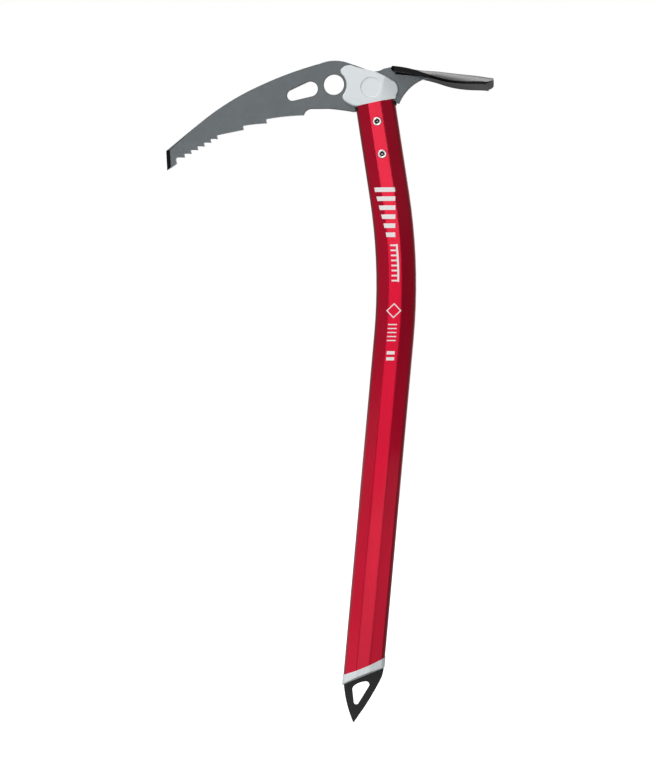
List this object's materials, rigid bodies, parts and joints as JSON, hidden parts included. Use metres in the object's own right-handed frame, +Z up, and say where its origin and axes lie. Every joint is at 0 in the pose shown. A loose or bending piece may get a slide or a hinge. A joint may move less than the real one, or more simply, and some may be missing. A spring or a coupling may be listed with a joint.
{
  "type": "ice axe",
  "caption": "Mountaineering ice axe: toothed steel pick and curved adze on one head plate, plastic head cover, bent faceted aluminium shaft, and a steel spike with an eye.",
  "frame": {"origin": "centre of the carabiner hole in the head plate, at mid-thickness", "axes": "+X from the carabiner hole towards the adze, -X towards the pick; +Y through the plate's thickness, away from the near face; +Z up, with the spike at the bottom"},
  "size_m": [0.2502, 0.0466, 0.5019],
  "materials": {
    "shaft_anodised": "red anodised, satin, brushed along the tube",
    "head_steel": "grey satin, bead blasted",
    "adze_steel": "dark polished edges and satin faces",
    "weld_steel": "ground weld bead",
    "cover_plastic": "pale grey moulded, fine texture",
    "packing_plastic": "dark moulded",
    "rivet_metal": "bright plated",
    "spike_steel": "black coated, semi-matt",
    "pin_steel": "plain turned"
  },
  "bodies": {
    "root": {"shaft_tube": "shaft_anodised", "head_plate": "head_steel", "adze_blade": "adze_steel", "adze_weld_near": "weld_steel", "adze_weld_far": "weld_steel", "head_cover_near": "cover_plastic", "head_cover_far": "cover_plastic", "tang_cheek_near": "packing_plastic", "tang_cheek_far": "packing_plastic", "upper_rivet": "rivet_metal", "lower_rivet": "rivet_metal", "spike_ferrule": "cover_plastic", "spike_plate": "spike_steel", "spike_pin": "pin_steel"}
  },
  "joints": []
}
